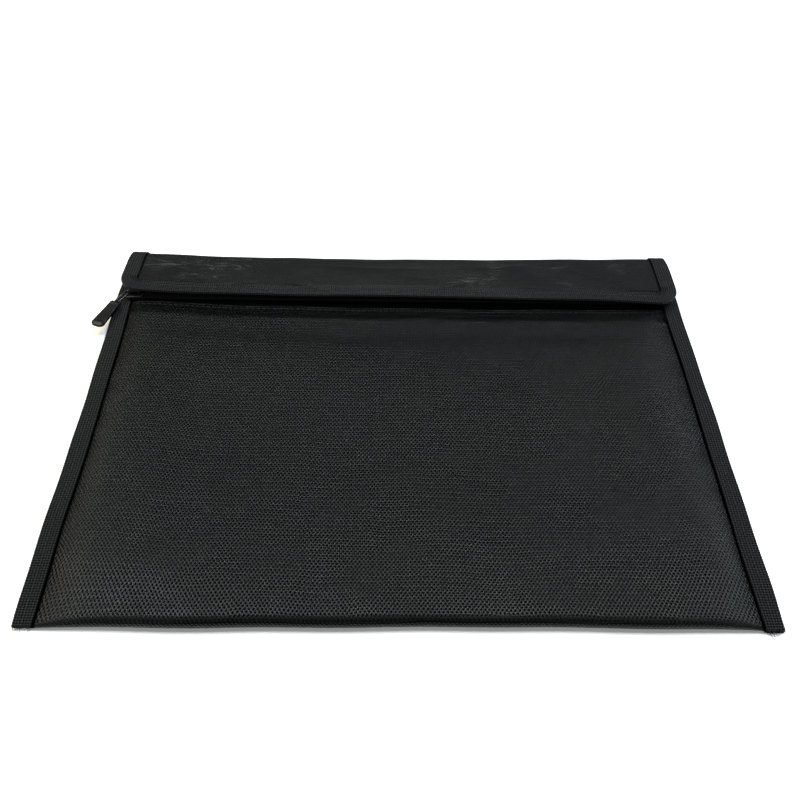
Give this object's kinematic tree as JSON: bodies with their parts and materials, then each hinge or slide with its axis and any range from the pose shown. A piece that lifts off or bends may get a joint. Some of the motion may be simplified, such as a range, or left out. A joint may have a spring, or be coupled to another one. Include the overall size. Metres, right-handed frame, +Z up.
{
  "type": "lipo safe bag",
  "caption": "Flat fire-resistant document-style pouch of black coated glass cloth with bound seams, a coil zip with a pull, and a fold-over flap.",
  "frame": {"origin": "middle of the underside that the bag rests on, half way between the bottom fold and the mouth fold and between the two side bindings", "axes": "+X along the zip from the closed slider to the other end, +Y from the bottom fold to the mouth fold, +Z up out of the front panel"},
  "size_m": [0.3887, 0.2815, 0.0146],
  "materials": {
    "glass_cloth": "black silicone-coated glass cloth, satin, plain weave about 1.2 mm",
    "lining": "thin aluminised lining cloth, dull silver",
    "webbing": "black woven binding tape, matte, fine rib",
    "thread": "black sewing thread, slight sheen",
    "zip_tape": "black knitted zip tape, matte",
    "zip_coil": "black nylon coil",
    "slider_metal": "black enamelled zinc casting, semi-gloss",
    "link_wire": "black coated steel wire",
    "grip_rubber": "black moulded rubber, matte"
  },
  "bodies": {
    "pouch": {"outer_shell": "glass_cloth", "flap_fold": "glass_cloth", "inner_lining": "lining", "left_side_binding": "webbing", "right_side_binding": "webbing", "left_seam_thread": "thread", "right_seam_thread": "thread", "zip_tape_front": "zip_tape", "zip_tape_back": "zip_tape", "zip_coil_front": "zip_coil", "zip_coil_back": "zip_coil", "zip_front_seam_thread": "thread", "zip_back_seam_thread": "thread"},
    "flap": {"flap_panel": "glass_cloth", "flap_lining": "lining", "flap_binding": "webbing", "flap_seam_thread": "thread"},
    "zip_slider": {"slider_body": "slider_metal"},
    "pull_link": {"pull_link": "link_wire"},
    "pull_grip": {"pull_grip": "grip_rubber"}
  },
  "joints": [
    {"name": "flap_hinge", "type": "hinge", "parent": "pouch", "child": "flap", "pos_m": [0, 0.13475, 0.00525], "axis": [-1, 0, 0], "range_deg": [0, 160], "deforming": ["flap_fold"]},
    {"name": "zip_slide", "type": "slide", "parent": "pouch", "child": "zip_slider", "axis": [1, 0, 0], "range_m": [0, 0.351]},
    {"name": "pull_swivel", "type": "hinge", "parent": "zip_slider", "child": "pull_link", "pos_m": [-0.18195, 0.098, 0.00905], "axis": [0, 0, 1], "range_deg": [-4, 56]},
    {"name": "grip_lift", "type": "hinge", "parent": "pull_link", "child": "pull_grip", "pos_m": [-0.18705, 0.08917, 0.00905], "axis": [-0.866, 0.5, 0], "range_deg": [0, 78]}
  ]
}
